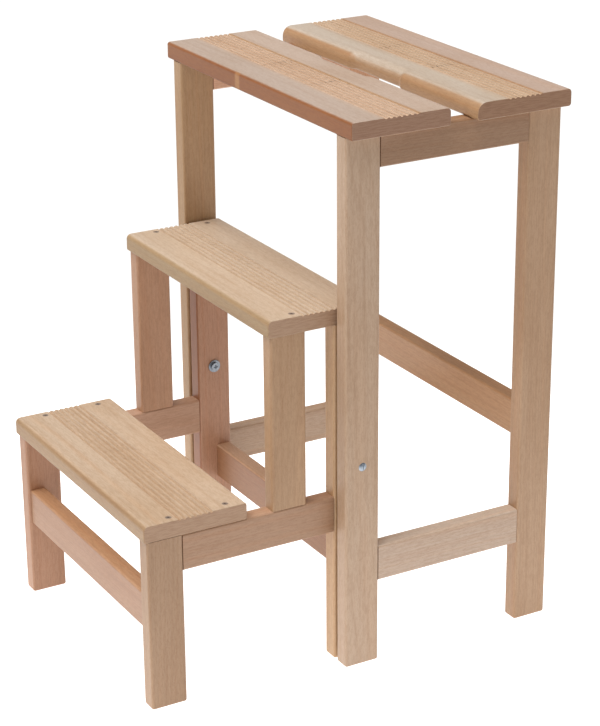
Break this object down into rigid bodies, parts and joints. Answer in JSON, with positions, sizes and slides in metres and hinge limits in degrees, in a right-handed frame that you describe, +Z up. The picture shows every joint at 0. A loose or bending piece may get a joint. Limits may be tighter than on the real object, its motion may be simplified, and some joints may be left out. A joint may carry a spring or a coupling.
{
  "type": "folding step stool",
  "caption": "Beech step stool with a slatted seat and a step unit that swings up and over into the stool on two side pivots.",
  "frame": {"origin": "on the floor, under the centre of the overall bounding box in the open position", "axes": "+Z up; +X along the treads, to the right of a person climbing; the steps are at -Y and the seat at +Y, so a person climbs towards +Y"},
  "size_m": [0.431, 0.519, 0.65],
  "materials": {
    "seat_beech": "satin clear lacquer",
    "tread_beech": "satin clear lacquer",
    "leg_beech": "satin clear lacquer",
    "rail_beech": "satin clear lacquer",
    "dowel_beech": "bare",
    "zinc_steel": "bright zinc plated",
    "spacer_nylon": "natural nylon"
  },
  "bodies": {
    "stool": {"front_leg_left": "leg_beech", "front_leg_right": "leg_beech", "rear_leg_left": "leg_beech", "rear_leg_right": "leg_beech", "seat_side_rail_left": "rail_beech", "seat_side_rail_right": "rail_beech", "lower_side_rail_left": "rail_beech", "lower_side_rail_right": "rail_beech", "rear_stretcher": "rail_beech", "seat_board_front": "seat_beech", "seat_board_rear": "seat_beech", "seat_side_rail_dowels": "dowel_beech", "lower_side_rail_dowels": "dowel_beech", "stretcher_dowels": "dowel_beech", "seat_dowels": "dowel_beech", "pivot_sleeve_nuts": "zinc_steel", "pivot_screws": "zinc_steel", "pivot_washers": "zinc_steel", "pivot_spacers": "spacer_nylon"},
    "step_unit": {"back_upright_left": "leg_beech", "back_upright_right": "leg_beech", "short_leg_left": "leg_beech", "short_leg_right": "leg_beech", "step_side_rail_left": "rail_beech", "step_side_rail_right": "rail_beech", "middle_upright_left": "leg_beech", "middle_upright_right": "leg_beech", "front_cross_rail": "rail_beech", "rear_cross_rail": "rail_beech", "lower_tread": "tread_beech", "middle_tread": "tread_beech", "lower_tread_screws": "zinc_steel", "middle_tread_screws": "zinc_steel", "step_side_rail_dowels": "dowel_beech", "middle_upright_dowels": "dowel_beech", "cross_rail_dowels": "dowel_beech"}
  },
  "joints": [
    {"name": "step_unit_pivot", "type": "hinge", "parent": "stool", "child": "step_unit", "pos_m": [0, 0, 0.2485], "axis": [-1, 0, 0], "range_deg": [0, 180]}
  ]
}
